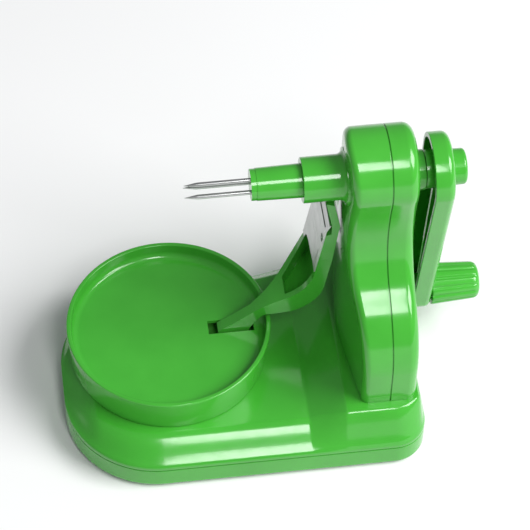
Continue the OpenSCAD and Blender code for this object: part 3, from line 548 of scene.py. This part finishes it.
CRANK_THROW, CRANK_REST = 110.5, 8.5
HUB_C, HUB_R, END_R = (0.8, -0.5), 18.1, 11.1
CRANK_X0, CRANK_X1 = 121.5, 131.0
HUB_X0, SCREW_X = 119.1, 127.0
SPINDLE_X0, SPINDLE_SHOULDER_X = 41.0, 88.5
KNOB_Y = CRANK_THROW * sin(CRANK_REST)
KNOB_Z = SPINDLE_Z - CRANK_THROW * cos(CRANK_REST)
KNOB_X1 = 155.7
FLUTES = 14
FLUTE_DEPTH, FLUTE_SHARE = 0.6, 0.36


def make_spindle():
    x0, shoulder = SPINDLE_X0, SPINDLE_SHOULDER_X
    nose = [(x0, 5), (x0, 7.35), (x0 + 0.08, 7.52), (x0 + 0.3, 7.62), (COLLAR_X0, 8.0), (shoulder, 8.0)]
    tail = [(shoulder, 5), (SCREW_X, 5), (SCREW_X, 1.75), (SCREW_X - 16, 1.75), (SCREW_X - 16, 0.02)]
    profile = nose + tail + [(x0 + 6, 0.02), (x0 + 6, 5)]
    obj = turned("spindle", "x", profile, 0, SPINDLE_Z, n=96)
    finish_piece(obj, "spindle", GREEN, ["spindle_shaft"])


def crank_point(x, y, z):
    c, s = cos(CRANK_REST), sin(CRANK_REST)
    return (x, y * c - z * s, SPINDLE_Z + y * s + z * c)


def crank_outline(d):
    a = math.degrees(math.asin((HUB_R - END_R) / CRANK_THROW))
    return (arc(HUB_C, HUB_R - d, a, 180 - a, 36)
            + arc((0, -CRANK_THROW), END_R - d, 180 - a, 360 + a, 30))


def crank_loft(steps):
    return loft("tool", [[crank_point(x, -y, z) for y, z in crank_outline(d)] for x, d in steps])


def crank_rod(x0, x1, r, z=0.0, n=64):
    return loft("tool", [[crank_point(x, p[0], p[1]) for p in arc((0, z), r, 0, 360 - 360 / n, n - 1)]
                         for x in (x0, x1)])


def make_crank():
    edge = [(CRANK_X1 - 3.4 * (1 - sin(a)), 3.4 * (1 - cos(a))) for a in range(0, 91, 10)]
    obj = crank_loft([(CRANK_X0, 0.4), (CRANK_X0 + 0.12, 0.12), (CRANK_X0 + 0.4, 0)] + edge)
    obj.name = "crank"
    cut(obj, crank_loft([(CRANK_X0 - 1, 2.2), (CRANK_X1 - 3.2, 2.2), (CRANK_X1 - 2.6, 2.8)]))
    across = ((-1, -CRANK_THROW), (1, -CRANK_THROW), (1, 0), (-1, 0))
    rib = loft("tool", [[crank_point(x, y, z) for y, z in across] for x in (CRANK_X0 + 3, CRANK_X1 - 1)])
    add(obj, crank_rod(HUB_X0, CRANK_X1 - 1, 9), crank_rod(CRANK_X0 + 1, CRANK_X1 - 1, 6, -CRANK_THROW), rib)
    cut(obj, crank_rod(HUB_X0 - 1, SCREW_X, 5), crank_rod(SCREW_X - 1, CRANK_X1 + 1, 4.6),
        crank_rod(CRANK_X0, CRANK_X1 + 1, 2.5, -CRANK_THROW))
    finish_piece(obj, "spindle", GREEN, ["crank_arm"], angle=40)


def make_crank_cap():
    profile = ([(CRANK_X1 + 0.02, 6.5), (CRANK_X1 + 0.02, 8.5), (136.6, 8.4)]
               + [(136.6 + 1.6 * sin(a), 6.8 + 1.6 * cos(a)) for a in range(10, 91, 10)]
               + [(138.2, 0.02), (136, 0.02), (136, 6.5)])
    obj = turned("crank_cap_round", "x", profile, 0, SPINDLE_Z, n=96)
    finish_piece(obj, "spindle", GREEN, ["crank_cap"])


def make_knob():
    """The grip, drawn as rings of (along, radius, share of the flutes' depth) with its bore last."""
    n = FLUTES * 14
    x0 = CRANK_X1 + 0.4
    shoulder = [(x0, 9.7, 0), (x0 + 0.1, 10.15, 0), (x0 + 0.4, 10.4, 0.3), (x0 + 1.0, 10.45, 0.9),
                (x0 + 2.0, 10.4, 1)]
    grip = [(x, 10.4 - 1.15 * (x - 132.4) / 19.6, 1) for x in (136, 140, 144, 148, 151)]
    dome = [(152.3, 9.22, 0.9), (153.2, 9.05, 0.6), (154.0, 8.72, 0.25), (154.7, 8.2, 0.05), (155.2, 7.55, 0),
            (155.55, 6.7, 0), (155.68, 5.9, 0), (KNOB_X1, 5.0, 0)]
    bore = [(149.2, 5.0, 0), (149.2, 3.05, 0), (x0, 3.05, 0)]
    steps = shoulder + grip + dome + bore
    rings = []
    for x, r, depth in steps:
        ring = []
        for k in range(n):
            a = 360 * k / n
            off = abs((a * FLUTES / 360 + 0.5) % 1 - 0.5) * 2
            dip = FLUTE_DEPTH * depth * max(0.0, 1 - (off / FLUTE_SHARE) ** 2) ** 0.8
            ring.append((x, KNOB_Y + (r - dip) * sin(a), KNOB_Z + (r - dip) * cos(a)))
        rings.append(ring)
    finish_piece(loft("knob", rings, wrap=True), "knob", GREEN, ["crank_knob"], angle=50)


# ---- peeling arm -----------------------------------------------------------------------

PIN_X, PIN_Z, PIN_R = 37.0, 31.5, 1.5
ARM_Y0, ARM_Y1 = -3.0, 26.6
LEAN = 9.0
BLADE_FOOT = (69.4, 73.8)
BEND_C, BEND_R = (53.0, 71.2), 22.4
ARM_DEPTH = 6.6
BLADE_LEN, BLADE_T, LIP_LEN = 35.5, 0.8, 4.2
SEAM_ARM_Z = 87.4
OVAL_R, OVAL_Y = 8.6, 12.3


def up_lean(p, s, out=0.0):
    """s up the blade from p, and out away from its face."""
    return (p[0] + s * sin(LEAN) + out * cos(LEAN), p[1] + s * cos(LEAN) - out * sin(LEAN))


OUTER_FOOT = up_lean(BLADE_FOOT, 0, ARM_DEPTH)
SEAM_S = (SEAM_ARM_Z - OUTER_FOOT[1]) / cos(LEAN)
INNER_SEAM = up_lean(BLADE_FOOT, SEAM_S - 1.05)
OUTER_SEAM = up_lean(OUTER_FOOT, SEAM_S)
ARM_PLAN = [(40, 2.8), (45.3, 5), (50, 8.3), (54.5, 13), (59, 18.4), (63, 22.8), (67, 26), (70, ARM_Y1)]


def make_arm():
    under = ([(39, 35.5)] + spline([(39.2, 38.5), (42.2, 43.8), (46.3, 48.6), (51, 48.9)], 5)
             + arc(BEND_C, BEND_R, -72, -LEAN, 26) + [OUTER_SEAM])
    upper = ([INNER_SEAM, BLADE_FOOT]
             + spline([BLADE_FOOT, (65.2, 66.5), (59, 61.2), (50, 57.3), (44, 53.6), (38.5, 49.4), (32, 44.2),
                       (25.5, 39.6)], 5)[1:] + [(23.9, 38.2), (24.2, 37), (30.5, 33)])
    obj = prism("peeler_arm", "y", under + upper, ARM_Y0, ARM_Y1)
    back = [(20, 2.8)] + spline(ARM_PLAN, 5) + [(90, ARM_Y1)]
    plan = [(20, -2.8), (40, -2.8), (48, ARM_Y0), (90, ARM_Y0)] + back[::-1]
    combine(obj, "INTERSECT", prism("tool", "z", plan, 30, 110))
    pocket = ([(55.5, 64)] + arc(BEND_C, BEND_R - 2.4, -74, -LEAN, 24)
              + [(OUTER_SEAM[0] - 2.4, OUTER_SEAM[1]), (OUTER_SEAM[0] - 20, OUTER_SEAM[1]), (55, 75)])
    inside = prism("tool", "y", pocket, ARM_Y0 + 3, ARM_Y1 - 2)
    inner_back = [(x + 2, y - 2.2) for x, y in [(20, 2.8)] + spline(ARM_PLAN, 5) + [(90, ARM_Y1)] if x > 44]
    combine(inside, "INTERSECT", prism("tool", "z", [(47, 0), (92, 0)] + inner_back[::-1], 40, 100))
    turn = Matrix.Rotation(math.radians(62), 4, "Y")
    ring = arc((0, 0), OVAL_R, 0, 354, 59)
    oval = loft("tool", [[tuple(turn @ Vector((1.35 * u - 43, v, a)) + Vector((0, OVAL_Y, 0))) for u, v in ring]
                         for a in (40, 90)])
    cut(obj, inside, oval)
    lug = prism("tool", "y", [(32, 34), (37, 28.4), (40.1, 31.5), (39, 37)], -2.8, 2.8)
    add(obj, rod("y", -2.8, 2.8, 3.2, PIN_X, PIN_Z), lug)
    cut(obj, rod("y", ARM_Y0 - 1, 4, PIN_R + 0.05, PIN_X, PIN_Z, n=32))
    finish_piece(obj, "arm", GREEN, ["peeling_arm"], angle=40, bevel=0.45, bevel_angle=38)


APEX = (81.1, 111.5)
TIP_OUT, TIP_IN = (78.0, 127.6), (73.9, 129.4)
PEEL_WINDOW = (107.2, 110.4)
HOLE_Y, HOLE_Z, HOLE_R = -0.2, 101.7, 2.0
SLIT_Z = 84.0


def make_holder():
    seat = up_lean(BLADE_FOOT, BLADE_LEN - 3)
    bend = [(APEX[0] - 0.5, APEX[1] - 2.5), (APEX[0] - 0.12, APEX[1] - 1.2), APEX,
            (APEX[0] - 0.1, APEX[1] + 1), (APEX[0] - 0.35, APEX[1] + 2.2)]
    outline = ([OUTER_SEAM] + bend + [TIP_OUT, TIP_IN, (APEX[0] - 4, APEX[1] + 1.5),
               (seat[0] + 2.6, seat[1] + 0.8), seat, INNER_SEAM])
    obj = prism("holder", "y", outline, ARM_Y0, ARM_Y1)
    tongue = [(INNER_SEAM[0] + 0.2, INNER_SEAM[1]), (INNER_SEAM[0] - 1.0, INNER_SEAM[1] - 7.6),
              (OUTER_SEAM[0] - 3.8, OUTER_SEAM[1] - 7.6), (OUTER_SEAM[0] - 2.6, OUTER_SEAM[1])]
    add(obj, prism("tool", "y", tongue, 1, 22))
    window = [(74, PEEL_WINDOW[0]), (90, PEEL_WINDOW[0]), (90, PEEL_WINDOW[1]), (74, PEEL_WINDOW[1])]
    inner = (BLADE_FOOT[0] + 2, BLADE_FOOT[1])
    outer = (OUTER_FOOT[0] - 2, OUTER_FOOT[1])
    relief = [up_lean(inner, 17), up_lean(inner, 28), up_lean(outer, 27), up_lean(outer, 17)]
    cut(obj, prism("tool", "y", window, ARM_Y0 + 3, ARM_Y1 - 3),
        prism("tool", "y", relief, ARM_Y0 + 3, ARM_Y1 - 2))
    finish_piece(obj, "arm", GREEN, ["blade_holder"], angle=40, bevel=0.4, bevel_angle=30)


def make_blade():
    """The blade is drawn in its own plane: y across, s up its slope."""
    y0, y1 = ARM_Y0, ARM_Y1
    arch = spline([(22.8, 0.0), (22.0, 2.6), (20.6, 4.6), (18, 5.6), (13.8, 6.1), (8.8, 6.2), (1.7, 6.6),
                   (y0, 5.6)], 4)
    foot = up_lean(BLADE_FOOT, 0, -BLADE_T)

    def sheet(points, t0, t1):
        rings = []
        for t in (t0, t1):
            ring = []
            for y, s in points:
                x, z = up_lean(foot, s, t)
                ring.append((x, y, z))
            rings.append(ring)
        return loft("tool", rings)

    obj = sheet([(y0, BLADE_LEN), (y1, BLADE_LEN), (y1, 0.0)] + arch, 0, BLADE_T)
    obj.name = "blade_plate"
    end = BLADE_LEN + LIP_LEN
    lip = [up_lean(foot, BLADE_LEN), up_lean(foot, BLADE_LEN, BLADE_T),
           up_lean(foot, end, 2.6 * BLADE_T), up_lean(foot, end, 1.6 * BLADE_T)]
    add(obj, prism("tool", "y", lip, y0, y1))

    def opening(y_low, y_high, s_low, s_high, t0, t1):
        return sheet([(y_low, s_low), (y_high, s_low), (y_high, s_high), (y_low, s_high)], t0, t1)

    hole_s = (HOLE_Z - foot[1]) / cos(LEAN)
    slit_s = (SLIT_Z - foot[1]) / cos(LEAN)
    cut(obj, sheet(arc((HOLE_Y, hole_s), HOLE_R, 0, 350, 35), -1, 2),
        opening(y0 + 2.2, y0 + 2.7, slit_s, slit_s + 9.1, -1, 2),
        opening(y0 + 2.5, y1 - 8, BLADE_LEN + 0.2, BLADE_LEN + 1, -2, 4))
    finish_piece(obj, "arm", STAINLESS, ["blade"], angle=30, bevel=0.12, bevel_angle=40, segments=2)


make_base_shell()
make_base_cover()
make_tower()
make_tray()
make_spindle()
make_crank()
make_crank_cap()
make_knob()
make_arm()
make_holder()
make_blade()

# ---- the CAD pieces that stay ----------------------------------------------------------

def round_shading():
    """Shades the CAD pieces smooth across shallow edges."""
    tree = bpy.data.node_groups.new("round_shading", "GeometryNodeTree")
    tree.interface.new_socket("Geometry", in_out="INPUT", socket_type="NodeSocketGeometry")
    tree.interface.new_socket("Geometry", in_out="OUTPUT", socket_type="NodeSocketGeometry")
    start, end = tree.nodes.new("NodeGroupInput"), tree.nodes.new("NodeGroupOutput")
    weld = tree.nodes.new("GeometryNodeMergeByDistance")
    weld.inputs["Distance"].default_value = 1e-6
    faces, edges = tree.nodes.new("GeometryNodeSetShadeSmooth"), tree.nodes.new("GeometryNodeSetShadeSmooth")
    edges.domain = "EDGE"
    bend = tree.nodes.new("GeometryNodeInputMeshEdgeAngle")
    small = tree.nodes.new("FunctionNodeCompare")
    small.operation = "LESS_EQUAL"
    small.inputs[1].default_value = math.radians(32)
    link = tree.links.new
    link(start.outputs[0], weld.inputs["Geometry"])
    link(weld.outputs["Geometry"], faces.inputs["Geometry"])
    link(faces.outputs["Geometry"], edges.inputs["Geometry"])
    link(bend.outputs["Unsigned Angle"], small.inputs[0])
    link(small.outputs[0], edges.inputs["Shade Smooth"])
    link(edges.outputs["Geometry"], end.inputs[0])
    return tree


SHADING = round_shading()
SLOT_OF = {s["node"]: s["material_slot"] for s in frame["record"]["subparts"]}
for name, obj in frame["nodes"].items():
    if obj.hide_render:
        continue
    obj.data.materials.clear()
    obj.data.materials.append(BY_SLOT[SLOT_OF[name]])
    obj.modifiers.new("round_shading", "NODES").node_group = SHADING

# ---- floor, light and camera -----------------------------------------------------------

def make_floor():
    r = 4000
    floor = new_object("floor", [(-r, -r, 0), (r, -r, 0), (r, r, 0), (-r, r, 0)], [(0, 1, 2, 3)])
    m = Nodes("floor_paint", "")
    m.link(m.ramp(m.noise(3, 3), ((0.3, (0.90, 0.90, 0.90)), (0.7, (0.92, 0.92, 0.92)))), "Base Color")
    m.bsdf.inputs["Roughness"].default_value = 0.75
    m.bsdf.inputs["Specular IOR Level"].default_value = 0.1
    floor.data.materials.append(m.mat)


def soft_box(name, azimuth, elevation, distance, size, power):
    """An area light that faces the object. Azimuth is from the front towards the right."""
    data = bpy.data.lights.new(name, "AREA")
    data.shape = "RECTANGLE"
    data.size, data.size_y = size
    data.energy = power
    obj = bpy.data.objects.new(name, data)
    away = Vector((sin(azimuth) * cos(elevation), -cos(azimuth) * cos(elevation), sin(elevation)))
    obj.location = Vector((0, 0, 0.07)) + distance * away
    obj.rotation_euler = away.to_track_quat("Z", "Y").to_euler()
    bpy.context.scene.collection.objects.link(obj)


def make_camera():
    data = bpy.data.cameras.new("camera")
    data.sensor_width = 36
    data.lens = 181.706
    data.shift_x, data.shift_y = 0.01336, 0.0048
    data.dof.use_dof = False
    data.clip_end = 20
    obj = bpy.data.objects.new("camera", data)
    yaw, pitch, roll = 0.14846, 0.91119, 0.02524
    ahead = Vector((math.sin(yaw) * math.cos(pitch), math.cos(yaw) * math.cos(pitch), -math.sin(pitch)))
    level = Vector((math.cos(yaw), -math.sin(yaw), 0))
    up = level.cross(ahead)
    right = math.cos(roll) * level + math.sin(roll) * up
    up = -math.sin(roll) * level + math.cos(roll) * up
    turn = Matrix((right, up, -ahead)).transposed().to_4x4()
    obj.matrix_world = Matrix.Translation((-0.12327, -0.76494, 1.08666)) @ turn
    bpy.context.scene.collection.objects.link(obj)
    bpy.context.scene.camera = obj


make_floor()
soft_box("window", 10, 55, 2.4, (0.42, 0.8), 14)
soft_box("side_box", 66, 46, 2.2, (1.3, 1.3), 56)
world = bpy.data.worlds.new("studio")
world.use_nodes = True
world.node_tree.nodes["Background"].inputs["Color"].default_value = (0.94, 0.97, 1.0, 1)
world.node_tree.nodes["Background"].inputs["Strength"].default_value = 0.24
bpy.context.scene.world = world
bpy.context.scene.view_settings.view_transform = "Standard"
make_camera()
